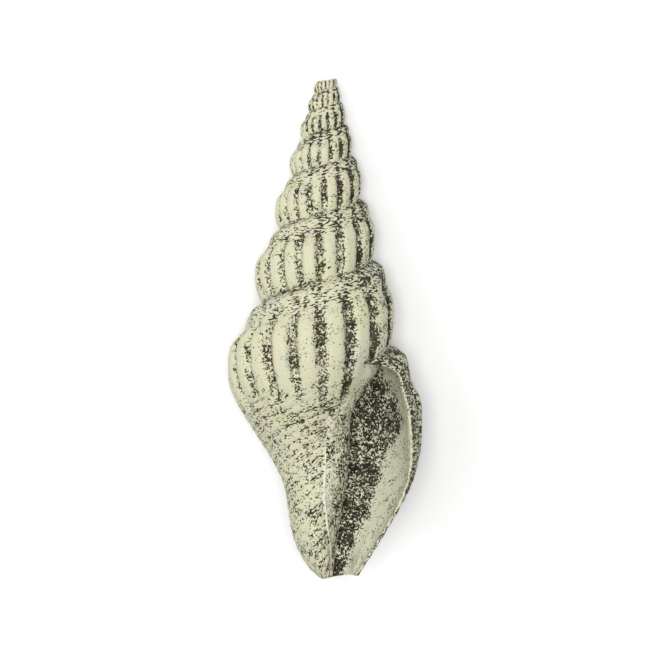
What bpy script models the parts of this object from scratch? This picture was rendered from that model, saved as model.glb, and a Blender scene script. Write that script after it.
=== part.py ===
"""A fossil turret shell: a tall ribbed spire, a body whorl and a long open mouth that runs into a canal.

The shell is drawn upright first, apex up along +Y and mouth towards +Z. "Turn" counts whorls along the
growth of the shell: 0 where the last whorl passes +X, -1 one whorl earlier. Growth runs from +X through +Z
to -X. "Drop" is the distance down the axis from the point where the spiral would start. All in millimetres.
"""

import math

import bmesh
import bpy
from mathutils import Matrix, Vector

MM = 0.001

# The spiral: how far the suture and the shoulder are at turn 0, and how they grow with each whorl
SUTURE_AT_LIP = 20.55
RISE = 1.40
SUTURE_LEAN = 0.008
GIRTH_AT_LIP = 7.14
SPREAD = 1.392
GIRTH_LEAN = 0.028
AXIS_LEAN = 0.56
AXIS_LEAN_POWER = 1.3
FIRST_TURN = -7.5
LIP_TURN = 0.145
WHORL = 1.0

# One whorl's outline: (fraction of the way to the next suture, fraction of the shoulder's radius)
WHORL_OUTLINE = (
    (0.00, 0.693),
    (0.06, 0.765),
    (0.14, 0.810),
    (0.28, 0.845),
    (0.39, 0.965),
    (0.48, 1.000),
    (0.675, 1.000),
)
SHARED_ROWS = (0.0, 0.06, 0.14, 0.28, 0.39, 0.48, 0.68, 0.90)
LEDGE_SOFTENING = 0.10
LEDGE_SWING = 0.21

# The base of a whorl: where it starts and ends as a multiple of the suture's drop, and how full it is
PERIPHERY = 1.27
BASE_END = 1.75
BASE_FULLNESS = 1.06
BASE_FULLNESS_SWING = 0.17
BASE_ROWS = 12
LENGTH_OF_BASE = 2.0

# The neck round the canal, and the columella's pillar that shows inside the mouth
TIP_DROP = 36.15
LIP_TIP_DROP = 35.90
NECK_RADIUS = 2.50
NECK_ROUNDING = 3.7
TIP_BLUNTNESS = 1.145
TIP_BLUNTNESS_SWING = 0.07
PILLAR_SHARE = 0.415
PILLAR_TIP_SHARE = 0.16
PILLAR_TAPER = (26.0, 38.0)
NECK_TURNS = (-0.86, -0.66)
CANAL_BEND = 1.38
CANAL_BEND_FROM = 26.8
CANAL_BEND_TO = 40.0
CANAL_BEND_TURNS = (-0.95, -0.60)

# Ribs: how many a whorl has, how unevenly they are spaced, how deep the valleys are, and where they fade
RIBS_PER_WHORL = 17.5
RIB_INCREASE = 0.15
RIB_SWING = 0.60
RIB_PHASE = 0.085
RIB_DEPTH = 0.085
RIB_SQUARENESS = 2.0
RIB_START = (0.20, 0.40)
RIB_FADE = (1.27, 1.46)
RIB_FADE_TURNS = (-1.10, -0.75)
RIB_ON_SUTURE = 0.4
COLUMNS_PER_RIB = 4

# The mouth: how far the lip draws back from the suture's end, in degrees, at these fractions of a whorl
LIP_RETREAT = (
    (0.0, 0.0),
    (0.06, 13.0),
    (0.18, 27.0),
    (0.31, 25.0),
    (0.45, 22.0),
    (0.75, 27.0),
    (1.0, 29.0),
    (3.0, 27.0),
)
RETREAT_SPAN = 90.0
WALL = 0.55
RIM_WALL = 0.24
RIM_STARTS = 0.16
RIM_LENGTH = 0.25
CEILING_DROP = 0.09
CEILING_AT_RIM = 0.35
HOLLOW_DEPTH = 115.0
CANAL_HOLLOW_DEPTH = 45.0
CANAL_HOLLOW_ROWS = (0.9, 2.6)
PILLAR_SETBACK = 8.0
WALL_COLUMNS = 9
PILLAR_COLUMNS = 7

# The broken apex, the way the shell lies, and its finish
APEX_DROP = 2.45
APEX_SLANT = 9.0
REST_TILT = 15.2
REST_FLAT = 0.26
COLOUR = (0.66, 0.66, 0.50, 1)
ROUGHNESS = 0.75


def between(low, high, value):
    """0 below low, 1 above high, and a smooth step between."""
    share = min(1.0, max(0.0, (value - low) / (high - low)))
    return share * share * (3 - 2 * share)


def along(points, value):
    """The height of a line through points at this value."""
    for (x0, y0), (x1, y1) in zip(points, points[1:]):
        if value <= x1:
            return y0 + (y1 - y0) * max(0.0, value - x0) / (x1 - x0)
    return points[-1][1]


def suture_drop(turn):
    return SUTURE_AT_LIP * RISE ** turn * (1 - SUTURE_LEAN * math.cos(2 * math.pi * turn))


def girth(turn):
    return GIRTH_AT_LIP * SPREAD ** turn * (1 - GIRTH_LEAN * math.cos(2 * math.pi * turn))


def whorl_share(drop, turn):
    """How far down from its suture to the next one a point lies: 0 to 1, and more on the base."""
    return (drop / suture_drop(turn) - 1) / (RISE - 1)


def rib(turn):
    """1 on a rib's crest and 0 in the middle of a valley."""
    wave = 0.5 + 0.5 * math.cos(2 * math.pi * rib_count(turn))
    return 1 - (1 - wave) ** RIB_SQUARENESS


def rib_count(turn):
    """Ribs counted along the spiral, whole on a crest."""
    even = RIBS_PER_WHORL * turn + RIB_INCREASE * turn ** 2
    return even - RIB_SWING * math.sin(2 * math.pi * turn) + RIB_PHASE


def turn_of_rib(count):
    """The turn at which this many ribs have been counted."""
    low, high = FIRST_TURN - WHORL, WHORL
    while high - low > 1e-9:
        middle = (low + high) / 2
        if rib_count(middle) < count:
            low = middle
        else:
            high = middle
    return low


def neck_radius(drop, turn):
    """The radius that the base narrows to: the pillar before the mouth, the canal's wall after it."""
    bluntness = TIP_BLUNTNESS + TIP_BLUNTNESS_SWING * math.cos(2 * math.pi * turn)
    rounding = max(0.0, drop - (TIP_DROP - NECK_ROUNDING)) / (NECK_ROUNDING * bluntness)
    neck = NECK_RADIUS * math.sqrt(max(0.0, 1 - rounding ** 2))
    taper = between(PILLAR_TAPER[0], PILLAR_TAPER[1], drop)
    pillar = girth(turn) * (PILLAR_SHARE + (PILLAR_TIP_SHARE - PILLAR_SHARE) * taper)
    return pillar + (neck - pillar) * between(NECK_TURNS[0], NECK_TURNS[1], turn)


def base_radius(drop, turn):
    """The radius of a whorl's base, which falls from the periphery to the neck."""
    neck = neck_radius(drop, turn)
    suture = suture_drop(turn)
    share = (drop - PERIPHERY * suture) / ((BASE_END - PERIPHERY) * suture)
    share = min(1.0, max(0.0, share))
    power = BASE_FULLNESS + BASE_FULLNESS_SWING * math.cos(2 * math.pi * turn)
    fall = 0.5 + 0.5 * math.cos(math.pi * share ** power)
    return neck + (girth(turn) - neck) * fall


def valley(drop, turn, crest):
    """How much of its radius a point loses between two ribs."""
    share = whorl_share(drop, turn)
    start = between(RIB_START[0], RIB_START[1], share)
    low_down = between(RIB_FADE[0], RIB_FADE[1], drop / suture_drop(turn))
    fade = low_down * between(RIB_FADE_TURNS[0], RIB_FADE_TURNS[1], turn)
    return RIB_DEPTH * start * (1 - fade) * (1 - crest)


def suture_radius(turn):
    """The new whorl starts on the old one's wall, and follows its ribs a little."""
    drop = suture_drop(turn)
    earlier = turn - WHORL
    return base_radius(drop, earlier) * (1 - RIB_ON_SUTURE * RIB_DEPTH * (1 - rib(earlier)))


def outer_radius(drop, turn, crest=1.0):
    share = whorl_share(drop, turn)
    size = girth(turn)
    if share >= WHORL_OUTLINE[-1][0]:
        radius = base_radius(drop, turn)
    else:
        ledge = 1 - along(WHORL_OUTLINE, share)
        ledge *= 1 - LEDGE_SOFTENING - LEDGE_SWING * math.cos(2 * math.pi * turn)
        collar = WHORL_OUTLINE[1][0]
        radius = size * (1 - ledge)
        if share < collar:
            radius = suture_radius(turn) + (radius - suture_radius(turn)) * share / collar
    return radius * (1 - valley(drop, turn, crest))


def centre(drop, turn):
    """Where the axis passes at this drop: it leans at the top and bends to +X at the canal."""
    upper = max(0.0, (SUTURE_AT_LIP - drop) / SUTURE_AT_LIP)
    bend = CANAL_BEND * between(CANAL_BEND_FROM, CANAL_BEND_TO, drop)
    bend *= between(CANAL_BEND_TURNS[0], CANAL_BEND_TURNS[1], turn)
    return AXIS_LEAN * upper ** AXIS_LEAN_POWER + bend


def place(drop, turn, radius):
    """The point at this drop, turn and radius, with the shell upright."""
    angle = 2 * math.pi * turn
    return Vector((centre(drop, turn) + radius * math.cos(angle), -drop, radius * math.sin(angle)))


def outer_point(drop, turn, crest):
    return place(drop, turn, outer_radius(drop, turn, crest))


def rib_turns(start, end):
    """The turns from start to end at which the ribs' crests, slopes and valleys lie, with both ends."""
    first = math.ceil(rib_count(start) * COLUMNS_PER_RIB + 0.5)
    last = math.floor(rib_count(end) * COLUMNS_PER_RIB - 0.5)
    inner = [turn_of_rib(step / COLUMNS_PER_RIB) for step in range(first, last + 1)]
    return [start] + inner + [end]


def row_drop(row, turn):
    """The drop of a body whorl's row: the spire's rows, the next suture, then the base down to the tip."""
    if row < len(SHARED_ROWS):
        return suture_drop(turn) * (1 + (RISE - 1) * SHARED_ROWS[row])
    share = (row - len(SHARED_ROWS)) / BASE_ROWS
    next_suture = suture_drop(turn + WHORL)
    right = 0.5 + 0.5 * math.cos(2 * math.pi * turn)
    tip = TIP_DROP + (LIP_TIP_DROP - TIP_DROP) * right
    return next_suture + (tip - next_suture) * share


LAST_ROW = len(SHARED_ROWS) + BASE_ROWS


def row_share(row):
    """A row's place for the lip's outline: fractions of a whorl, and over 1 on the base."""
    if row < len(SHARED_ROWS):
        return SHARED_ROWS[row]
    return 1 + LENGTH_OF_BASE * (row - len(SHARED_ROWS)) / BASE_ROWS


def growth_turn(row, turn):
    """The turn of a body whorl's row once the growth lines draw back from the suture near the lip."""
    near = between(LIP_TURN - RETREAT_SPAN / 360, LIP_TURN, turn)
    return turn - along(LIP_RETREAT, row_share(row)) / 360 * near


def sew(mesh, first, second, first_steps, second_steps):
    """Triangles between two lines of vertices, each with its own rising steps."""
    i = j = 0
    while i < len(first) - 1 or j < len(second) - 1:
        if j == len(second) - 1:
            take_first = True
        elif i == len(first) - 1:
            take_first = False
        else:
            take_first = first_steps[i + 1] + first_steps[i] < second_steps[j + 1] + second_steps[j]
        if take_first:
            corners = (first[i], first[i + 1], second[j])
            i += 1
        else:
            corners = (first[i], second[j + 1], second[j])
            j += 1
        if len(set(corners)) == 3:
            mesh.faces.new(corners)


def sew_evenly(mesh, first, second):
    first_steps = [step / max(1, len(first) - 1) for step in range(len(first))]
    second_steps = [step / max(1, len(second) - 1) for step in range(len(second))]
    sew(mesh, first, second, first_steps, second_steps)


def fill_grid(mesh, columns):
    """Quads between neighbouring columns of the same length."""
    for left, right in zip(columns, columns[1:]):
        for row in range(len(left) - 1):
            corners = (left[row], left[row + 1], right[row + 1], right[row])
            mesh.faces.new([vert for k, vert in enumerate(corners) if vert not in corners[:k]])


def build_spire(mesh, turns):
    """The whorls above the mouth, each sewn to the next one's suture afterwards."""
    columns = []
    for turn in turns:
        crest = rib(turn)
        drops = [row_drop(row, turn) for row in range(len(SHARED_ROWS))]
        columns.append([mesh.verts.new(outer_point(drop, turn, crest)) for drop in drops])
    fill_grid(mesh, columns)
    return columns


def build_body(mesh, turns, first_column):
    """The last whorl, from the first column's turn to the lip, down to the canal's end."""
    columns = []
    for turn in turns:
        crest = rib(turn)
        column = []
        for row in range(LAST_ROW + 1):
            here = growth_turn(row, turn)
            column.append(mesh.verts.new(outer_point(row_drop(row, here), here, crest)))
        columns.append(column)
    start, lip = columns[0], columns[-1]
    for row, vert in enumerate(first_column):
        mesh.verts.remove(start[row])
        start[row] = vert
    mesh.verts.remove(start[len(SHARED_ROWS)])
    start[len(SHARED_ROWS)] = lip[0]
    fill_grid(mesh, columns)
    return columns


def wall_column(mesh, step, steps):
    """The inner face of the outer wall, from the lip's rim (step 1) back to the end of the hollow."""
    column = []
    for row in range(LAST_ROW + 1):
        lip = growth_turn(row, LIP_TURN)
        inside = between(0.0, RIM_STARTS, row_share(row))
        share = max(0.0, (step - 1) / (steps - 1))
        turn = lip + (-HOLLOW_DEPTH / 360 - lip) * share
        deep = between(0.0, RIM_LENGTH, share)
        thickness = (RIM_WALL + (WALL - RIM_WALL) * deep) * (inside + (1 - inside) * deep)
        drop = row_drop(row, turn)
        lowered = CEILING_DROP * max(0.0, 1 - row_share(row)) * deep
        drop += lowered * (RISE - 1) * suture_drop(turn)
        crest = rib(LIP_TURN) if step == 1 else 0.0
        radius = outer_radius(drop, turn, crest) - thickness
        column.append(mesh.verts.new(place(drop, turn, radius)))
    return column


def pillar_column(mesh, step, steps):
    """The columella's side of the hollow, from its end (step 0) forward to the mouth."""
    column = []
    for row in range(LAST_ROW + 1):
        down = between(CANAL_HOLLOW_ROWS[0], CANAL_HOLLOW_ROWS[1], row_share(row))
        start = -(HOLLOW_DEPTH + (CANAL_HOLLOW_DEPTH - HOLLOW_DEPTH) * down) / 360
        front = LIP_TURN - PILLAR_SETBACK / 360
        turn = start + (front - start) * step / (steps - 1)
        drop = row_drop(row, turn)
        back = 1 - (1 - CEILING_AT_RIM) * between(0.0, front, turn)
        drop += CEILING_DROP * back * max(0.0, 1 - row_share(row)) * (RISE - 1) * suture_drop(turn)
        earlier = turn - WHORL
        column.append(mesh.verts.new(place(drop, earlier, base_radius(drop, earlier))))
    return column


def build_hollow(mesh, body):
    """The inside of the mouth: back along the outer wall, round, and forward along the columella."""
    lip, inner_lip = body[-1], body[0][len(SHARED_ROWS):]
    wall = [wall_column(mesh, step, WALL_COLUMNS) for step in range(1, WALL_COLUMNS + 1)]
    mesh.verts.remove(wall[0][0])
    wall[0][0] = lip[0]
    pillar = [pillar_column(mesh, step, PILLAR_COLUMNS) for step in range(PILLAR_COLUMNS)]
    columns = [lip] + wall + pillar
    fill_grid(mesh, columns)
    sew_evenly(mesh, inner_lip, pillar[-1])
    ceiling_out = [column[0] for column in wall]
    ceiling_in = [lip[0]] + [column[0] for column in reversed(pillar)]
    sew_evenly(mesh, ceiling_out, ceiling_in)
    outer_end = [column[-1] for column in body]
    inner_end = [body[0][-1]] + [column[-1] for column in reversed(columns)]
    sew_evenly(mesh, outer_end, inner_end)


def build_shell():
    mesh = bmesh.new()
    mouth_turn = LIP_TURN - WHORL
    spire_turns = rib_turns(FIRST_TURN, mouth_turn)
    body_turns = rib_turns(mouth_turn, LIP_TURN)
    spire = build_spire(mesh, spire_turns)
    body = build_body(mesh, body_turns, spire[-1])
    upper = [column[-1] for column in spire]
    lower_turns = spire_turns + body_turns[1:]
    lower = [column[0] for column in spire] + [column[0] for column in body[1:]]
    begin = next(k for k, turn in enumerate(lower_turns) if turn >= FIRST_TURN + WHORL)
    sew(mesh, upper, lower[begin:], [turn + WHORL for turn in spire_turns], lower_turns[begin:])
    build_hollow(mesh, body)
    return mesh


def cut(mesh, point, normal):
    """Cuts off what lies beyond a plane and closes the cut with flat faces."""
    geometry = mesh.verts[:] + mesh.edges[:] + mesh.faces[:]
    result = bmesh.ops.bisect_plane(
        mesh, geom=geometry, dist=1e-6, plane_co=point, plane_no=normal, clear_outer=True)
    edges = [item for item in result["geom_cut"] if isinstance(item, bmesh.types.BMEdge)]
    bmesh.ops.holes_fill(mesh, edges=edges, sides=0)


def lay_down(mesh):
    """Turns the shell onto its back, mouth up, on the floor's plane, and wears flats where it rests."""
    tilt = Matrix.Rotation(math.radians(-REST_TILT), 4, "X")
    bmesh.ops.transform(mesh, matrix=tilt, verts=mesh.verts)
    lowest = min(vert.co.z for vert in mesh.verts)
    cut(mesh, Vector((0, 0, lowest + REST_FLAT)), Vector((0, 0, -1)))
    floor = Vector((0, 0, lowest + REST_FLAT))
    across = [vert.co.x for vert in mesh.verts]
    lengthways = [vert.co.y for vert in mesh.verts]
    middle = Vector(((min(across) + max(across)) / 2, (min(lengthways) + max(lengthways)) / 2, 0))
    bmesh.ops.translate(mesh, vec=-floor - middle, verts=mesh.verts)
    bmesh.ops.scale(mesh, vec=(MM, MM, MM), verts=mesh.verts)


def fossil_material():
    material = bpy.data.materials.new("fossil shell")
    material.use_nodes = True
    shader = material.node_tree.nodes["Principled BSDF"]
    shader.inputs["Base Color"].default_value = COLOUR
    shader.inputs["Roughness"].default_value = ROUGHNESS
    shader.inputs["Metallic"].default_value = 0.0
    return material


def clear_scene():
    for old in list(bpy.data.objects):
        bpy.data.objects.remove(old)


def main():
    clear_scene()
    mesh = build_shell()
    slant = math.radians(APEX_SLANT)
    cut(mesh, Vector((0, -APEX_DROP, 0)), Vector((-math.sin(slant), math.cos(slant), 0)))
    loose = [vert for vert in mesh.verts if not vert.link_faces]
    bmesh.ops.delete(mesh, geom=loose, context="VERTS")
    lay_down(mesh)
    bmesh.ops.recalc_face_normals(mesh, faces=mesh.faces)
    data = bpy.data.meshes.new("shell")
    mesh.to_mesh(data)
    mesh.free()
    data.materials.append(fossil_material())
    data.shade_smooth()
    shell = bpy.data.objects.new("shell", data)
    bpy.context.scene.collection.objects.link(shell)


main()
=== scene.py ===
import math

import bmesh
import bpy
import numpy as np
from mathutils import Matrix, Vector


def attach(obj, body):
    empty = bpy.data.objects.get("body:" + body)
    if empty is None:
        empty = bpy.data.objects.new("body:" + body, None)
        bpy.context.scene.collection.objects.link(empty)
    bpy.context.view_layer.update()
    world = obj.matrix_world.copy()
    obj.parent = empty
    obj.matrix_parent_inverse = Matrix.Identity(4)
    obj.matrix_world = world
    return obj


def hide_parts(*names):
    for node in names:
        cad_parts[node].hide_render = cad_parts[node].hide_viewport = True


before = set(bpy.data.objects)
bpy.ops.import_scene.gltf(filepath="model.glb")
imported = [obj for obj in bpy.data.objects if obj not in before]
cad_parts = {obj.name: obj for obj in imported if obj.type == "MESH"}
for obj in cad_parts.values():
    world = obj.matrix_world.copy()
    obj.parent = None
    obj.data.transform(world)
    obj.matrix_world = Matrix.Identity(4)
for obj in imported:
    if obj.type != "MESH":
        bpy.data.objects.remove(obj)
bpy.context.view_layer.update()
print("frame loaded")

mm = 0.001

# The shell is drawn upright in millimetres, apex up along +Y and mouth towards +Z, and laid down later.
# A turn counts whorls along the growth: 0 where the last whorl passes +X, growing from +X through +Z.
# A drop is the distance down the axis from the point where the spiral would start.
shell = {
    "sutureAtLip": 20.55,  # drop of the suture at turn 0
    "rise": 1.40,  # how much further down each whorl's suture is
    "sutureLean": 0.008,
    "girthAtLip": 7.14,  # radius of the shoulder at turn 0
    "spread": 1.392,  # how much wider each whorl is
    "girthLean": 0.028,
    "axisLean": 0.56,
    "axisLeanPower": 1.3,
    "firstTurn": -7.5,
    "lipTurn": 0.145,
    # one whorl from suture to suture: (share of the way down, share of the shoulder's radius)
    "outline": ((0, 0.693), (0.06, 0.765), (0.14, 0.810), (0.28, 0.845), (0.39, 0.965), (0.48, 1),
                (0.675, 1)),
    "outlineRounding": 0.035,
    "ledgeSoftening": 0.10,
    "ledgeSwing": 0.21,
    "periphery": 1.27,  # the base starts here, as a multiple of the suture's drop
    "baseEnd": 1.75,
    "baseFullness": 1.06,
    "baseFullnessSwing": 0.17,
    "tipDrop": 36.15,
    "lipTipDrop": 35.90,
    "neckRadius": 2.50,
    "neckRounding": 3.7,
    "tipBluntness": 1.145,
    "tipBluntnessSwing": 0.07,
    "neckTurns": (-0.86, -0.66),
    "pillarShare": 0.415,
    "pillarTipShare": 0.16,
    "pillarTaper": (26.0, 38.0),
    "canalBend": 1.38,
    "canalBendDrops": (26.8, 40.0),
    "canalBendTurns": (-0.95, -0.60),
    "columnsPerWhorl": 288,
    "rowsPerWhorl": 24,
    "rowsOnBase": 92,
    "rowCrowding": 0.07,  # rows stand closer together at the sutures
}

ribs = {
    "perWhorl": 17.5,
    "increase": 0.15,
    "swing": 0.60,
    "phase": 0.085,
    "depth": 0.085,  # depth of the valleys, as a share of the radius
    "squareness": 2.3,
    "start": (0.20, 0.38),
    "fade": (1.30, 1.50),
    "fadeTurns": (-1.10, -0.75),
    "onSuture": 0.4,
    "lean": 0.010,  # turns that a rib leans back on its way down a whorl
    "unevenness": 0.16,
    "unevenStep": 2.4,  # radians from one rib to the next
    "sutureFade": (0.88, 1.0),
}

threads = {
    "perWhorl": 15.5,  # fine spiral threads in one whorl's height
    "height": 0.035,
    "start": (1.34, 1.52),  # where they begin, as multiples of the suture's drop
    "bodyTurns": (-1.0, -0.86),
    "growthLines": 120,
    "growthHeight": 0.012,
    "growthSmallest": 0.15,
    "growthBeat": (0.6, 0.4, 17, 5),  # steady part, swing, beats per whorl, slope
    "wander": ((0.6, 9, 0), (0.4, 23, 2)),  # (size, rate, phase)
    "wanderStrength": 3,
}


def between(low, high, value):
    share = np.clip((value - low) / (high - low), 0.0, 1.0)
    return share * share * (3 - 2 * share)


def lineThrough(points, value, rounding=0.0):
    xs, ys = zip(*points)
    sides = np.interp(value - rounding, xs, ys) + np.interp(value + rounding, xs, ys)
    return (2 * np.interp(value, xs, ys) + sides) / 4


def around(turn):
    return np.cos(2 * math.pi * turn)


def sutureDrop(turn):
    return shell["sutureAtLip"] * shell["rise"] ** turn * (1 - shell["sutureLean"] * around(turn))


def girth(turn):
    return shell["girthAtLip"] * shell["spread"] ** turn * (1 - shell["girthLean"] * around(turn))


def whorlShare(drop, turn):
    return (drop / sutureDrop(turn) - 1) / (shell["rise"] - 1)


def ribCount(turn):  # whole on a crest
    even = ribs["perWhorl"] * turn + ribs["increase"] * turn ** 2
    return even - ribs["swing"] * np.sin(2 * math.pi * turn) + ribs["phase"]


def ribCrest(turn):  # 1 on a crest, 0 in the middle of a valley
    wave = 0.5 + 0.5 * np.cos(2 * math.pi * ribCount(turn))
    return 1 - (1 - wave) ** ribs["squareness"]


def ribUnevenness(turn):  # how deep this valley is beside the others
    return 1 + ribs["unevenness"] * np.sin(ribs["unevenStep"] * np.round(ribCount(turn)))


def neckRadius(drop, turn):
    bluntness = shell["tipBluntness"] + shell["tipBluntnessSwing"] * around(turn)
    rounding = np.maximum(0.0, drop - (shell["tipDrop"] - shell["neckRounding"]))
    rounding = rounding / (shell["neckRounding"] * bluntness)
    neck = shell["neckRadius"] * np.sqrt(np.maximum(0.0, 1 - rounding ** 2))
    taper = between(*shell["pillarTaper"], drop)
    pillar = girth(turn) * (shell["pillarShare"] + (shell["pillarTipShare"] - shell["pillarShare"]) * taper)
    return pillar + (neck - pillar) * between(*shell["neckTurns"], turn)


def baseRadius(drop, turn):
    neck = neckRadius(drop, turn)
    suture = sutureDrop(turn)
    share = (drop - shell["periphery"] * suture) / ((shell["baseEnd"] - shell["periphery"]) * suture)
    power = shell["baseFullness"] + shell["baseFullnessSwing"] * around(turn)
    fall = 0.5 + 0.5 * np.cos(math.pi * np.clip(share, 0.0, 1.0) ** power)
    return neck + (girth(turn) - neck) * fall


def valleyStrength(drop, turn):  # 1 where the ribs stand fully, 0 where there are none
    share = whorlShare(drop, turn)
    fade = between(*ribs["fade"], drop / sutureDrop(turn)) * between(*ribs["fadeTurns"], turn)
    return between(*ribs["start"], share) * (1 - fade)


def outerRadius(drop, turn, crest):
    share = whorlShare(drop, turn)
    ledge = 1 - lineThrough(shell["outline"], share, shell["outlineRounding"])
    ledge = ledge * (1 - shell["ledgeSoftening"] - shell["ledgeSwing"] * around(turn))
    onWhorl = girth(turn) * (1 - ledge)
    earlier = turn - 1
    onSuture = baseRadius(sutureDrop(turn), earlier)
    onSuture = onSuture * (1 - ribs["onSuture"] * ribs["depth"] * (1 - ribCrest(earlier)))
    collar = shell["outline"][1][0]
    onWhorl = onSuture + (onWhorl - onSuture) * np.clip(share / collar, 0.0, 1.0)
    radius = np.where(share >= shell["outline"][-1][0], baseRadius(drop, turn), onWhorl)
    return radius * (1 - ribs["depth"] * valleyStrength(drop, turn) * (1 - crest))


def centre(drop, turn):
    upper = np.maximum(0.0, (shell["sutureAtLip"] - drop) / shell["sutureAtLip"])
    bend = between(*shell["canalBendDrops"], drop) * between(*shell["canalBendTurns"], turn)
    return shell["axisLean"] * upper ** shell["axisLeanPower"] + shell["canalBend"] * bend


def place(drop, turn, radius):
    angle = 2 * math.pi * turn
    return np.stack((centre(drop, turn) + radius * np.cos(angle), -drop, radius * np.sin(angle)), axis=-1)


# The mouth: the lip's edge, the wall behind it, and the columella with its thin callus
mouth = {
    # how far the lip draws back from the suture's end: (whorl share down the lip, degrees)
    "lipRetreat": ((0, 0), (0.06, 13), (0.18, 27), (0.31, 25), (0.45, 22), (0.75, 27), (1, 29), (3, 27)),
    "retreatRounding": 0.04,
    "retreatSpan": 90.0,
    "wall": 0.55,
    "wallCrowding": 1.5,
    "rimWall": 0.24,
    "rimStarts": 0.16,
    "rimLength": 0.25,
    "ribbedLength": 0.10,
    "ceilingDrop": 0.09,
    "ceilingAtRim": 0.35,
    "hollowDepth": 115.0,
    "canalHollowDepth": 45.0,
    "canalHollowRows": (0.9, 2.6),
    "pillarSetback": 8.0,
    "lengthOfBase": 2.0,
    "rimColumns": 4,
    "wallColumns": 56,
    "pillarColumns": 40,
    # the callus's left edge on the base: (drop, turn)
    "callusEdge": ((23.4, -0.860), (24.2, -0.820), (25.0, -0.779), (28.5, -0.775), (30.4, -0.761),
                   (32.9, -0.774), (34.4, -0.806), (36.2, -0.806)),
    "callusHeight": 0.05,
    "edgeHeight": 0.07,
    "edgeWidth": 0.09,
    "edgeStarts": (26.6, 27.6),  # drops between which the raised edge appears
    # the ends of the mouth's painted shade, right and left: (drop, distance to the right of the axis)
    "shadeRightEnd": ((22.3, 4.3), (22.9, 4.85), (23.8, 5.46), (25.7, 5.80), (26.8, 5.33), (28.0, 4.40),
                  (29.1, 4.30), (30.8, 3.85), (32.2, 3.25), (33.9, 2.4), (36.2, 1.6)),
    "shadeLeftEnd": ((21.5, 4.2), (22.1, 3.8), (24.0, 2.35), (25.7, 2.10), (28.0, 2.25), (31.0, 2.1),
                 (36.2, 1.2)),
    "lineRounding": 0.3,
}


def rowShares():
    even = np.arange(shell["rowsPerWhorl"]) / shell["rowsPerWhorl"]
    return even - shell["rowCrowding"] * np.sin(2 * math.pi * even)


def mouthRowShares():  # the body whorl's rows: under 1 on the whorl, over 1 on the base
    onBase = np.arange(shell["rowsOnBase"] + 1) / shell["rowsOnBase"]
    return np.concatenate((rowShares(), 1 + mouth["lengthOfBase"] * onBase))


def rowDrop(share, turn):
    onWhorl = sutureDrop(turn) * (1 + (shell["rise"] - 1) * share)
    nextSuture = sutureDrop(turn + 1)
    right = 0.5 + 0.5 * around(turn)
    tip = shell["tipDrop"] + (shell["lipTipDrop"] - shell["tipDrop"]) * right
    onBase = nextSuture + (tip - nextSuture) * (share - 1) / mouth["lengthOfBase"]
    return np.where(share < 1, onWhorl, onBase)


def lipTurn(share, turn):
    near = between(shell["lipTurn"] - mouth["retreatSpan"] / 360, shell["lipTurn"], turn)
    retreat = lineThrough(mouth["lipRetreat"], share, mouth["retreatRounding"])
    start = between(0.0, mouth["retreatRounding"], share)
    return turn - retreat * start / 360 * near


def relief(drop, turn, share):
    suture = sutureDrop(turn)
    line = np.log(drop / shell["sutureAtLip"]) / math.log(shell["rise"]) - turn
    onBase = between(*threads["start"], drop / suture) * between(*threads["bodyTurns"], turn)
    raised = threads["height"] * onBase * np.cos(2 * math.pi * threads["perWhorl"] * line)
    wander = sum(size * np.sin(rate * line + phase) for size, rate, phase in threads["wander"])
    growth = np.sin(2 * math.pi * threads["growthLines"] * turn + threads["wanderStrength"] * wander)
    steady, swing, beats, slope = threads["growthBeat"]
    growth = growth * (steady + swing * np.sin(2 * math.pi * beats * turn + slope * line))
    size = np.clip(suture / shell["sutureAtLip"], threads["growthSmallest"], 1.0)
    return raised + threads["growthHeight"] * growth * size


# How far a point is on the callus, how far on its raised edge, and how many millimetres inside that edge
def callusShare(drop, turn):
    edge = lineThrough(mouth["callusEdge"], drop, mouth["lineRounding"])
    below = between(mouth["callusEdge"][0][0], mouth["callusEdge"][1][0], drop)
    beyond = (turn - edge) * 2 * math.pi * baseRadius(drop, turn)
    inside = 1 - between(-mouth["edgeWidth"], mouth["edgeWidth"], beyond)
    onEdge = np.exp(-(beyond / mouth["edgeWidth"]) ** 2) * between(*mouth["edgeStarts"], drop)
    return inside * below, onEdge, np.maximum(0.0, -beyond)


class ShellMesh:
    def __init__(self):
        self.points = []
        self.faces = []
        self.fields = {name: [] for name in ("speckle", "dashes", "slant", "inside", "pale", "grain")}
        self.count = 0

    def addPoints(self, points, **fields):
        points = points.reshape(-1, 3)
        self.points.append(points)
        for name, values in self.fields.items():
            width = 3 if name == "grain" else 1
            value = np.zeros((len(points), width)) if name not in fields else fields[name]
            values.append(np.asarray(value, float).reshape(len(points), width))
        first = self.count
        self.count += len(points)
        return np.arange(first, self.count)

    def addGrid(self, columns):  # columns: an index array, one row of it per column of points
        a, b = columns[:-1, :-1], columns[:-1, 1:]
        c, d = columns[1:, 1:], columns[1:, :-1]
        self.faces.extend(np.stack((a, b, c, d), axis=-1).reshape(-1, 4).tolist())

    def sew(self, first, second, firstSteps, secondSteps):
        i = j = 0
        while i < len(first) - 1 or j < len(second) - 1:
            if j == len(second) - 1:
                takeFirst = True
            elif i == len(first) - 1:
                takeFirst = False
            else:
                takeFirst = firstSteps[i + 1] + firstSteps[i] < secondSteps[j + 1] + secondSteps[j]
            if takeFirst:
                corners = [first[i], first[i + 1], second[j]]
                i += 1
            else:
                corners = [first[i], second[j + 1], second[j]]
                j += 1
            if len(set(corners)) == 3:
                self.faces.append([int(corner) for corner in corners])

    def sewEvenly(self, first, second):
        self.sew(first, second, np.linspace(0, 1, len(first)), np.linspace(0, 1, len(second)))
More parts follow.
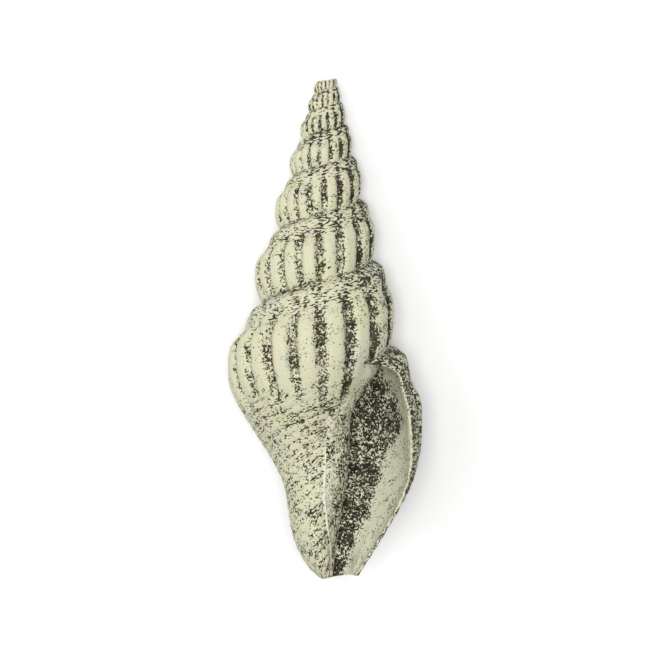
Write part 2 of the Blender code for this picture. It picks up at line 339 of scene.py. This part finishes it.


# Where the dark marks gather: shares of the surface that they cover. Where the cover rises in the rib
# valleys, at the sutures, on the right side, on the lip's outer band and deep in the mouth, the marks are
# painted shade
marks = {
    "crest": 0.035,
    # painted shade: many marks in the rib valleys, where shade falls
    "valley": 0.56,
    "valleyShadeSwing": 0.22,  # painted shade: the right side is darker than the left
    "valleyEdges": (0.12, 0.62),
    "columnStart": 0.6,
    "columnFade": (22.8, 24.9),  # drops between which the dark columns end on the base
    # painted shade: more marks on the right flank, the side turned away from the light
    "rightFlankShade": 0.15,
    "rightFlankEdges": (0.5, 0.95),
    "ramp": 0.24,
    "rampValley": 0.36,
    # painted shade: the ramp's valleys get more marks on the right
    "rampShadeSwing": (0.75, 0.5),
    # painted shade: many marks along the sutures' crease
    "suture": 0.72,
    "sutureOnCrest": 0.55,
    "sutureBelow": 0.03,  # how far the suture's marks reach, as shares of a whorl
    "sutureAbove": 0.025,
    "base": 0.22,
    # painted shade: more marks on the right of the base
    "baseRightShade": 0.17,
    "baseRightEdges": (-0.5, 0.5),
    # painted shade: a dense band of marks on the lip's outer face, the side in shadow
    "lipShadeBand": 0.66,
    "lipBandEdges": (0.7, 1.3),  # millimetres from the lip
    "farFromLip": 9.0,
    "callus": 0.28,
    "callusDeep": 0.50,
    "callusDeepEdges": (0.7, 2.0),  # millimetres inside the callus's edge
    "callusDrops": (24.0, 26.0),
    "callusEdgeClean": 0.95,
    # painted shade deep in the mouth: many marks where the hollow lies in shadow, few on the lit pale band
    "deep": 0.72,
    "deepShadeEdges": (-0.10, 0.35),  # millimetres past the right end of the painted shade
    "deepShadeLeftEdges": (-0.30, 0.30),
    "behindLip": (0.3, 1.2),
    "wallShadeBack": (-0.30, -0.12),  # turns where the hollow turns out of sight; painted shade is full behind them
    "pillarShadeBack": (-0.25, -0.12),
    "paleBand": 0.10,
    "rim": 0.14,
    "apex": 0.24,
    "apexOnCrest": 0.25,
    "apexDrops": (4.0, 13.0),
}

# How much of the mouth's lighter ground shows, painted light that lifts the shade: on the callus, and from
# the pale to the dark parts inside
lightness = {
    "callus": 0.45,
    "callusEdge": 0.7,
    "wall": (0.7, 1.0),
    "pillar": (0.8, 1.0),
}


# Millimetres along the growth and across it, and the number of the spiral thread
def grainOf(drop, turn):
    along = 2 * math.pi * shell["girthAtLip"] * shell["spread"] ** turn / math.log(shell["spread"])
    across = drop - sutureDrop(turn)
    line = (np.log(drop / shell["sutureAtLip"]) / math.log(shell["rise"]) - turn) * threads["perWhorl"]
    return np.stack((along, across, line), axis=-1)


# How many standard deviations a pattern is lifted to leave this share of it dark (a known short formula)
def thresholdFor(cover):
    cover = np.clip(cover, 0.005, 0.995)
    return 4.91 * (cover ** 0.14 - (1 - cover) ** 0.14)


def mixed(low, high, share):
    return low + (high - low) * share


def outerFields(drop, turn, crest, lipGap):
    share = whorlShare(drop, turn)
    right = around(turn)
    valley = 1 - np.clip(crest, 0.0, 1.0)
    ramp = 1 - between(*ribs["start"], share)
    base = between(*marks["columnFade"], drop) * between(*threads["bodyTurns"], turn)

    # painted shade: the right side gets more marks, in the valleys, on the ramp, on the base and on the
    # flank
    inValley = marks["valley"] + marks["valleyShadeSwing"] * right
    # painted shade: dark columns of marks in the rib valleys
    columns = between(*marks["valleyEdges"], valley) * between(0.0, marks["columnStart"], 1 - ramp)
    cover = mixed(marks["crest"], inValley, columns)
    steady, swing = marks["rampShadeSwing"]
    cover = mixed(cover, marks["ramp"] + marks["rampValley"] * valley * (steady + swing * right), ramp)
    onBase = marks["base"] + marks["baseRightShade"] * between(*marks["baseRightEdges"], right)
    cover = mixed(cover, onBase, base)
    cover = cover + marks["rightFlankShade"] * between(*marks["rightFlankEdges"], right)

    # painted shade along the sutures' crease
    covered = turn < shell["lipTurn"] - 1
    nearSuture = np.exp(-(share / marks["sutureBelow"]) ** 2)
    nearSuture = nearSuture + np.exp(-((1 - share) / marks["sutureAbove"]) ** 2) * covered
    nearSuture = np.clip(nearSuture, 0, 1) * mixed(marks["sutureOnCrest"], 1, valley)
    cover = mixed(cover, marks["suture"], nearSuture)
    nearApex = 1 - between(*marks["apexDrops"], drop)
    cover = cover + marks["apex"] * mixed(marks["apexOnCrest"], 1, valley) * nearApex
    # painted shade on the lip's outer band
    cover = mixed(cover, marks["lipShadeBand"], 1 - between(*marks["lipBandEdges"], lipGap))

    callus, edge, depth = callusShare(drop, turn)
    onCallus = mixed(marks["callus"], marks["callusDeep"], between(*marks["callusDeepEdges"], depth))
    cover = mixed(cover, onCallus, callus) * (1 - marks["callusEdgeClean"] * edge)
    # the callus gets painted light, a brighter ground
    return {"speckle": thresholdFor(cover), "dashes": base * (1 - callus), "slant": ramp * (1 - base),
            "inside": lightness["callus"] * callus * (1 - edge), "pale": lightness["callusEdge"] * edge,
            "grain": grainOf(drop, turn)}


def buildOutside(mesh):
    step = 1 / shell["columnsPerWhorl"]
    mouthTurn = shell["lipTurn"] - 1
    count = int(round((mouthTurn - shell["firstTurn"]) / step))
    spireTurns = mouthTurn - step * np.arange(count, 0, -1)
    shares = rowShares()
    turn = spireTurns[:, None] + 0 * shares[None, :]
    share = shares[None, :] + 0 * turn
    drop = sutureDrop(turn) * (1 + (shell["rise"] - 1) * share)
    crest = ribCrest(turn + ribs["lean"] * share)
    shallower = 1 - (1 - ribs["onSuture"]) * between(*ribs["sutureFade"], share)
    crest = 1 - (1 - crest) * ribUnevenness(turn) * shallower
    radius = outerRadius(drop, turn, crest) + relief(drop, turn, share)
    gap = np.full(drop.shape, marks["farFromLip"])
    spire = mesh.addPoints(place(drop, turn, radius), **outerFields(drop, turn, crest, gap))
    spire = spire.reshape(count, len(shares))

    bodyTurns = mouthTurn + step * np.arange(shell["columnsPerWhorl"] + 1)
    shares = mouthRowShares()
    nominal = bodyTurns[:, None] + 0 * shares[None, :]
    share = shares[None, :] + 0 * nominal
    turn = lipTurn(share, nominal)
    drop = rowDrop(share, turn)
    crest = ribCrest(nominal + ribs["lean"] * np.minimum(share, 2.0))
    crest = 1 - (1 - crest) * ribUnevenness(nominal)
    radius = outerRadius(drop, turn, crest) + relief(drop, turn, share)
    callus, edge, _ = callusShare(drop, turn)
    radius = radius + mouth["callusHeight"] * callus + mouth["edgeHeight"] * edge
    gap = (shell["lipTurn"] - nominal) * 2 * math.pi * radius
    body = mesh.addPoints(place(drop, turn, radius), **outerFields(drop, turn, crest, gap))
    body = body.reshape(len(bodyTurns), len(shares))

    whorlRows = shell["rowsPerWhorl"]
    everyFirst = np.concatenate((spire[:, 0], body[:, 0]))
    spireColumns = np.concatenate((spire, body[:1, :whorlRows]))
    lower = everyFirst[shell["columnsPerWhorl"]:][:count + 1]
    mesh.addGrid(np.concatenate((spireColumns, lower[:, None]), axis=1))
    body[0, whorlRows] = body[-1, 0]
    mesh.addGrid(body)
    return body, turn[-1], drop[-1], radius[-1], crest[-1]


def rightOfAxis(drop, turn, radius):
    return centre(drop, turn) + radius * np.cos(2 * math.pi * turn)


# Painted shade on the mouth's wall: dense marks deep inside and sparse on the lit pale band, over a ground
# painted lighter
def hollowFields(drop, turn, radius, behind):
    reach = lineThrough(mouth["shadeRightEnd"], drop, mouth["lineRounding"]) - rightOfAxis(drop, turn, radius)
    deep = between(*marks["deepShadeEdges"], reach) * between(*marks["behindLip"], behind)
    deep = np.maximum(deep, 1 - between(*marks["wallShadeBack"], turn))
    cover = mixed(marks["paleBand"], marks["deep"], deep)
    return {"speckle": thresholdFor(cover), "inside": mixed(*lightness["wall"], deep),
            "grain": grainOf(drop, turn)}


# Painted shade on the pillar: dense marks by the shade's left end and at the back, over a ground painted
# lighter
def pillarFields(drop, turn, radius, back):
    reach = rightOfAxis(drop, turn, radius) - lineThrough(mouth["shadeLeftEnd"], drop, mouth["lineRounding"])
    deep = np.maximum(between(*marks["deepShadeLeftEdges"], reach), back)
    onCallus = mixed(marks["paleBand"], marks["callusDeep"], between(*marks["callusDrops"], drop))
    cover = mixed(onCallus, marks["deep"], deep)
    return {"speckle": thresholdFor(cover), "inside": mixed(*lightness["pillar"], deep),
            "grain": grainOf(drop, turn + 1)}


def buildHollow(mesh, body, lip):
    turn, drop, radius, crest = lip
    shares = mouthRowShares()
    inside = between(0.0, mouth["rimStarts"], shares)
    rimWall = mouth["rimWall"] * inside
    rimColumns = []
    for step in range(1, mouth["rimColumns"] + 1):
        angle = math.pi * step / (mouth["rimColumns"] + 1)
        bulge = 0.5 * rimWall * math.sin(angle)
        here = turn + bulge / (2 * math.pi * radius)
        inward = rimWall * (0.5 - 0.5 * math.cos(angle))
        points = place(drop, here, radius - inward)
        speckle = thresholdFor(np.full(len(points), marks["rim"]))
        rimColumns.append(mesh.addPoints(points, speckle=speckle, grain=grainOf(drop, here)))

    wallColumns = []
    steps = mouth["wallColumns"]
    for step in range(steps):
        share = (step / (steps - 1)) ** mouth["wallCrowding"]
        deep = between(0.0, mouth["rimLength"], share)
        here = turn + (-mouth["hollowDepth"] / 360 - turn) * share
        thickness = mixed(mouth["rimWall"], mouth["wall"], deep) * mixed(inside, 1, deep)
        dropHere = rowDrop(shares, here)
        lowered = mouth["ceilingDrop"] * np.maximum(0.0, 1 - shares) * deep
        dropHere = dropHere + lowered * (shell["rise"] - 1) * sutureDrop(here)
        crestHere = (1 - between(0.0, mouth["ribbedLength"], share)) * crest
        inner = outerRadius(dropHere, here, crestHere) - thickness
        behind = (turn - here) * 2 * math.pi * inner
        points = place(dropHere, here, inner)
        wallColumns.append(mesh.addPoints(points, **hollowFields(dropHere, here, inner, behind)))
    for column in [wallColumns[0]] + rimColumns:  # the lip starts in one point
        column[0] = body[-1, 0]

    pillarColumns = []
    steps = mouth["pillarColumns"]
    down = between(*mouth["canalHollowRows"], shares)
    start = -mixed(mouth["hollowDepth"], mouth["canalHollowDepth"], down) / 360
    front = shell["lipTurn"] - mouth["pillarSetback"] / 360
    for step in range(steps):
        here = start + (front - start) * step / (steps - 1)
        dropHere = rowDrop(shares, here)
        back = 1 - (1 - mouth["ceilingAtRim"]) * between(0.0, front, here)
        lowered = mouth["ceilingDrop"] * back * np.maximum(0.0, 1 - shares)
        dropHere = dropHere + lowered * (shell["rise"] - 1) * sutureDrop(here)
        radiusHere = baseRadius(dropHere, here - 1)
        # painted shade at the back of the hollow
        dark = 1 - between(*marks["pillarShadeBack"], here)
        points = place(dropHere, here - 1, radiusHere)
        pillarColumns.append(mesh.addPoints(points, **pillarFields(dropHere, here - 1, radiusHere, dark)))

    whorlRows = shell["rowsPerWhorl"]
    columns = np.array([body[-1]] + rimColumns + wallColumns + pillarColumns)
    mesh.addGrid(columns)
    innerLip = body[0, whorlRows:]
    innerDrops = rowDrop(shares[whorlRows:], shell["lipTurn"] - 1)
    mesh.sew(innerLip, pillarColumns[-1], innerDrops, dropHere)
    ceilingOut = [body[-1, 0]] + [column[0] for column in wallColumns[1:]]
    ceilingIn = [body[-1, 0]] + [column[0] for column in reversed(pillarColumns)]
    mesh.sewEvenly(ceilingOut, ceilingIn)
    outerEnd = body[:, -1]
    innerEnd = [body[0, -1]] + [column[-1] for column in columns[::-1]]
    mesh.sewEvenly(outerEnd, innerEnd)


apex = {
    "drop": 2.45,
    "slant": 9.0,  # degrees
    "raggedness": ((0.03, 3, 1), (0.02, 11, 0)),  # (size, rate, phase)
    "capRings": (0.86, 0.68, 0.45, 0.2),
    "capDip": 0.10,
    "hubDip": 0.12,
    "bumps": 0.035,
    "bumpRates": ((0.757, 2.1), (0.34, 1.0)),  # per point of a ring, and per ring
}


def breakApex(mesh):
    slant = math.radians(apex["slant"])
    normal = Vector((-math.sin(slant), math.cos(slant), 0))
    point = Vector((0, -apex["drop"], 0))
    geometry = mesh.verts[:] + mesh.edges[:] + mesh.faces[:]
    result = bmesh.ops.bisect_plane(mesh, geom=geometry, dist=1e-5, plane_co=point, plane_no=normal,
                                    clear_outer=True)
    rim = {item for item in result["geom_cut"] if isinstance(item, bmesh.types.BMVert)}
    rim = [vert for vert in rim if vert.is_valid and vert.is_boundary]
    middle = sum((vert.co for vert in rim), Vector()) / len(rim)
    rim.sort(key=lambda vert: math.atan2(vert.co.z - middle.z, vert.co.x - middle.x))
    for vert in rim:
        angle = math.atan2(vert.co.z - middle.z, vert.co.x - middle.x)
        vert.co.y += sum(size * math.sin(rate * angle + phase) for size, rate, phase in apex["raggedness"])
    outer = rim
    for k, size in enumerate(apex["capRings"]):
        ring = []
        for n, vert in enumerate(rim):
            spot = middle + (vert.co - middle) * size
            bump = math.prod(math.sin(perPoint * n + perRing * k) for perPoint, perRing in apex["bumpRates"])
            spot.y += apex["bumps"] * bump - apex["capDip"] * (1 - size)
            ring.append(mesh.verts.new(spot))
        for n in range(len(rim)):
            m = (n + 1) % len(rim)
            mesh.faces.new((outer[n], outer[m], ring[m], ring[n]))
        outer = ring
    hub = mesh.verts.new(middle - Vector((0, apex["hubDip"], 0)))
    for n in range(len(outer)):
        mesh.faces.new((outer[n], outer[(n + 1) % len(outer)], hub))


# How the shell lies: tipped back until the spire touches, on small worn flats
rest = {
    "tilt": 15.2,  # degrees
    "flat": 0.26,
}


def layDown(points):
    tilt = np.array(Matrix.Rotation(math.radians(-rest["tilt"]), 3, "X"))
    points = points @ tilt.T
    low = points.min(axis=0)
    high = points.max(axis=0)
    shift = np.array(((low[0] + high[0]) / 2, (low[1] + high[1]) / 2, low[2] + rest["flat"]))
    points = points - shift
    points[:, 2] = np.maximum(points[:, 2], 0.0)
    return points * mm, shift


def makeShell():
    mesh = ShellMesh()
    body, *lip = buildOutside(mesh)
    buildHollow(mesh, body, lip)
    data = bpy.data.meshes.new("fossil shell")
    data.from_pydata(np.concatenate(mesh.points), [], mesh.faces)
    for name, values in mesh.fields.items():
        values = np.concatenate(values)
        if name == "grain":
            data.attributes.new(name, "FLOAT_VECTOR", "POINT").data.foreach_set("vector", values.ravel())
        else:
            data.attributes.new(name, "FLOAT", "POINT").data.foreach_set("value", values.ravel())
    fine = bmesh.new()
    fine.from_mesh(data)
    breakApex(fine)
    loose = [vert for vert in fine.verts if not vert.link_faces]
    bmesh.ops.delete(fine, geom=loose, context="VERTS")
    bmesh.ops.recalc_face_normals(fine, faces=fine.faces)
    fine.to_mesh(data)
    fine.free()
    points = np.zeros(len(data.vertices) * 3)
    data.vertices.foreach_get("co", points)
    points, shift = layDown(points.reshape(-1, 3))
    data.vertices.foreach_set("co", points.ravel())
    data.shade_smooth()
    data.update()
    piece = bpy.data.objects.new("fossilShell", data)
    bpy.context.scene.collection.objects.link(piece)
    return piece, shift


# The fossil's surface: a pale ground with fine dark marks, partly speckle and partly painted shade, and a
# ground painted lighter on the callus and in the mouth
look = {
    "ground": (0.545, 0.545, 0.380, 1),
    "groundWarm": (0.565, 0.535, 0.380, 1),
    "groundGreen": (0.553, 0.560, 0.357, 1),
    "groundGrey": (0.505, 0.510, 0.405, 1),
    # painted light: a brighter ground on the callus and in the mouth, lifting their shade
    "inMouthPaintedLight": (0.800, 0.800, 0.620, 1),
    "pale": (0.700, 0.700, 0.580, 1),
    "mark": (0.018, 0.017, 0.007, 1),
    "markSoft": (0.055, 0.052, 0.028, 1),
    # patches of other ground: (colour, features per millimetre, distortion, from, to)
    "patches": (("groundWarm", 0.42, 0.0, 0.50, 0.66), ("groundGreen", 0.75, 0.4, 0.54, 0.70),
                ("groundGrey", 0.58, 0.2, 0.56, 0.72)),
    "dotSize": 7.6,  # dots, worms, strokes and dashes: features per millimetre
    "dotDistortion": 0.8,
    "wormSize": 3.3,
    "wormDistortion": 0.6,
    "squiggleWeights": (0.9, 1.35),
    "strokeSize": (2.6, 8.5, 0.0),
    "strokeSlant": 45,
    "strokeDistortion": 0.35,
    "dashSize": (2.3, 5.6, 0.0),
    "dashDistortion": 0.3,
    "dashWeights": (0.75, 0.55),
    "grooveMarks": 0.6,
    # the patterns' means and standard deviations
    "squiggleSpread": (0.345, 0.108),
    "strokeSpread": (0.5, 0.082),
    "thicketSpread": (0.5, 0.1),
    "thicketSize": 1.1,  # places where the marks stand closer together
    "thickets": 0.42,
    "markEdge": 0.20,
    "markTones": (1.7, 0.40, 0.62),
    "roughness": (0.62, 0.86),
    "roughnessGrain": (3.0, 0.2),
    "specular": 0.35,
    "stoneGrain": (2.6, 4.0, 0.6),
    "stoneHeight": 0.5,
    "markHeight": 0.6,
    "bumpStrength": 0.6,
    "pitDepth": 0.02,  # millimetres
}


def fossilSurface():
    material = bpy.data.materials.new("fossil shell")
    material.use_nodes = True
    tree = material.node_tree
    shader = tree.nodes["Principled BSDF"]
    links = tree.links

    def node(kind, **values):
        made = tree.nodes.new(kind)
        for name, value in values.items():
            setattr(made, name, value)
        return made

    def fill(socket, item):
        if hasattr(item, "is_linked"):
            links.new(item, socket)
        else:
            socket.default_value = item

    def value(operation, first, second=None, clamp=False):
        made = node("ShaderNodeMath", operation=operation, use_clamp=clamp)
        fill(made.inputs[0], first)
        if second is not None:
            fill(made.inputs[1], second)
        return made.outputs[0]

    def field(name, output="Fac"):
        return node("ShaderNodeAttribute", attribute_name=name).outputs[output]

    def noise(vector, scale, detail=2.0, roughness=0.5, distortion=0.0):
        made = node("ShaderNodeTexNoise")
        made.inputs["Scale"].default_value = scale
        made.inputs["Detail"].default_value = detail
        made.inputs["Roughness"].default_value = roughness
        made.inputs["Distortion"].default_value = distortion
        links.new(vector, made.inputs["Vector"])
        return made.outputs["Fac"]

    def scaled(vector, size, degrees=0):
        made = node("ShaderNodeMapping")
        made.inputs["Rotation"].default_value = (0, 0, math.radians(degrees))
        made.inputs["Scale"].default_value = size
        links.new(vector, made.inputs["Vector"])
        return made.outputs[0]

    def blend(share, first, second):
        made = node("ShaderNodeMix", data_type="RGBA")
        links.new(share, made.inputs["Factor"])
        fill(made.inputs[6], first)
        fill(made.inputs[7], second)
        return made.outputs[2]

    def ramp(item, low, high):
        made = node("ShaderNodeMapRange", interpolation_type="SMOOTHSTEP")
        made.inputs["From Min"].default_value = low
        made.inputs["From Max"].default_value = high
        links.new(item, made.inputs["Value"])
        return made.outputs["Result"]

    def even(item, spread):  # mean 0 and standard deviation 1
        mean, deviation = spread
        return value("MULTIPLY", value("SUBTRACT", item, mean), 1 / deviation)

    def weighed(first, firstWeight, second, secondWeight):
        return value("ADD", value("MULTIPLY", first, firstWeight), value("MULTIPLY", second, secondWeight))

    place = scaled(node("ShaderNodeTexCoord").outputs["Object"], (1 / mm, 1 / mm, 1 / mm))
    grain = field("grain", "Vector")

    dots = noise(place, look["dotSize"], distortion=look["dotDistortion"])
    worms = noise(place, look["wormSize"], distortion=look["wormDistortion"])
    worms = value("ABSOLUTE", value("SUBTRACT", worms, 0.5))
    dotWeight, wormWeight = look["squiggleWeights"]
    squiggles = even(weighed(dots, dotWeight, worms, -wormWeight), look["squiggleSpread"])
    slanted = scaled(grain, look["strokeSize"], look["strokeSlant"])
    strokes = even(noise(slanted, 1.0, distortion=look["strokeDistortion"]), look["strokeSpread"])
    parts = node("ShaderNodeSeparateXYZ")
    links.new(grain, parts.inputs[0])
    alongThreads = node("ShaderNodeCombineXYZ")
    links.new(parts.outputs["X"], alongThreads.inputs["X"])
    links.new(parts.outputs["Z"], alongThreads.inputs["Y"])
    dashes = noise(scaled(alongThreads.outputs[0], look["dashSize"]), 1.0, distortion=look["dashDistortion"])
    groove = value("COSINE", value("MULTIPLY", parts.outputs["Z"], 2 * math.pi))
    dashes = weighed(even(dashes, look["strokeSpread"]), 1.0, groove, -look["grooveMarks"])
    dashWeight, squiggleWeight = look["dashWeights"]
    dashes = weighed(dashes, dashWeight, squiggles, squiggleWeight)

    onBase = field("dashes")
    onRamp = field("slant")
    elsewhere = value("SUBTRACT", value("SUBTRACT", 1.0, onBase), onRamp)
    pattern = weighed(dashes, onBase, strokes, onRamp)
    pattern = value("ADD", pattern, value("MULTIPLY", squiggles, elsewhere))
    thickets = even(noise(place, look["thicketSize"]), look["thicketSpread"])
    pattern = value("ADD", pattern, value("MULTIPLY", thickets, look["thickets"]))
    # the dark marks: speckle, and painted shade where the cover rises
    dark = ramp(value("ADD", pattern, field("speckle")), -look["markEdge"], look["markEdge"])

    tone = look["ground"]
    for name, size, distortion, low, high in look["patches"]:
        tone = blend(ramp(noise(place, size, distortion=distortion), low, high), tone, look[name])
    # painted light: the brighter ground on the callus and in the mouth
    tone = blend(field("inside"), tone, look["inMouthPaintedLight"])
    tone = blend(field("pale"), tone, look["pale"])
    size, low, high = look["markTones"]
    markTone = blend(ramp(noise(place, size), low, high), look["mark"], look["markSoft"])
    links.new(blend(dark, tone, markTone), shader.inputs["Base Color"])

    low, high = look["roughness"]
    size, swing = look["roughnessGrain"]
    rough = value("ADD", value("MULTIPLY", dark, high - low), low)
    uneven = value("MULTIPLY", value("SUBTRACT", noise(place, size), 0.5), swing)
    links.new(value("ADD", rough, uneven, clamp=True), shader.inputs["Roughness"])
    shader.inputs["Specular IOR Level"].default_value = look["specular"]

    stone = noise(place, *look["stoneGrain"])
    bump = node("ShaderNodeBump")
    bump.inputs["Strength"].default_value = look["bumpStrength"]
    bump.inputs["Distance"].default_value = look["pitDepth"] * mm
    links.new(weighed(stone, look["stoneHeight"], dark, -look["markHeight"]), bump.inputs["Height"])
    links.new(bump.outputs["Normal"], shader.inputs["Normal"])
    return material


piece, shift = makeShell()
piece.data.materials.append(fossilSurface())
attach(piece, "root")
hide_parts("shell")
print("shell made:", len(piece.data.polygons), "faces")

# The floor, the lights and the camera
studio = {
    "floorSize": 1.2,
    "floorColour": (0.93, 0.93, 0.93, 1),
    "skyStrength": 0.34,
    "frontPower": 2.75,
    "frontSize": 0.22,
    "frontDistance": 0.60,
    "keyPower": 0.66,
    "keySize": 0.30,
    "keyFrom": (-0.24, 0.10, 0.34),
    "photoWidth": 660,
    "photoHeight": 501,  # the shell's length in the photo, in pixels
    "photoCentre": (319.5, 46.0),  # where the axis and the spiral's start fall in the photo
    "shellLength": 34.0,
    "lens": 240.0,
    "sensor": 36.0,
    "clipStart": 0.01,
    "floorRoughness": 0.9,
}


def makeFloor():
    half = studio["floorSize"] / 2
    data = bpy.data.meshes.new("floor")
    corners = [(-half, -half, 0), (half, -half, 0), (half, half, 0), (-half, half, 0)]
    data.from_pydata(corners, [], [(0, 1, 2, 3)])
    material = bpy.data.materials.new("pale floor")
    material.use_nodes = True
    shader = material.node_tree.nodes["Principled BSDF"]
    shader.inputs["Base Color"].default_value = studio["floorColour"]
    shader.inputs["Roughness"].default_value = studio["floorRoughness"]
    data.materials.append(material)
    floor = bpy.data.objects.new("floor", data)
    bpy.context.scene.collection.objects.link(floor)


def makeLight(name, spot, aim, power, size):
    data = bpy.data.lights.new(name, "AREA")
    data.energy = power
    data.size = size
    lamp = bpy.data.objects.new(name, data)
    lamp.location = spot
    lamp.rotation_euler = (Vector(spot) - Vector(aim)).to_track_quat("Z", "Y").to_euler()
    bpy.context.scene.collection.objects.link(lamp)


def makeStudio(aim, towardsCamera):
    world = bpy.data.worlds.new("pale room")
    world.use_nodes = True
    world.node_tree.nodes["Background"].inputs["Color"].default_value = (1, 1, 1, 1)
    world.node_tree.nodes["Background"].inputs["Strength"].default_value = studio["skyStrength"]
    bpy.context.scene.world = world
    makeLight("key", studio["keyFrom"], aim, studio["keyPower"], studio["keySize"])
    front = aim + towardsCamera * studio["frontDistance"]
    makeLight("front", front, aim, studio["frontPower"], studio["frontSize"])
    bpy.context.scene.view_settings.view_transform = "Standard"


def makeCamera(shift):
    pixel = studio["shellLength"] / studio["photoHeight"]
    middle = studio["photoWidth"] / 2
    across, down = studio["photoCentre"]
    aim = Vector(((middle - across) * pixel, -(middle - down) * pixel, 0))
    tilt = Matrix.Rotation(math.radians(-rest["tilt"]), 3, "X")
    aim = (tilt @ aim - Vector(shift)) * mm
    data = bpy.data.cameras.new("camera")
    data.lens = studio["lens"]
    data.sensor_width = studio["sensor"]
    data.clip_start = studio["clipStart"]
    distance = studio["photoWidth"] * pixel * mm / data.sensor_width * data.lens
    camera = bpy.data.objects.new("camera", data)
    camera.location = aim + (tilt @ Vector((0, 0, 1))) * distance
    camera.rotation_euler = tilt.to_euler()
    bpy.context.scene.collection.objects.link(camera)
    bpy.context.scene.camera = camera
    return aim, tilt @ Vector((0, 0, 1))


makeFloor()
aim, towardsCamera = makeCamera(shift)
makeStudio(aim, towardsCamera)
print("floor, lights and camera made")
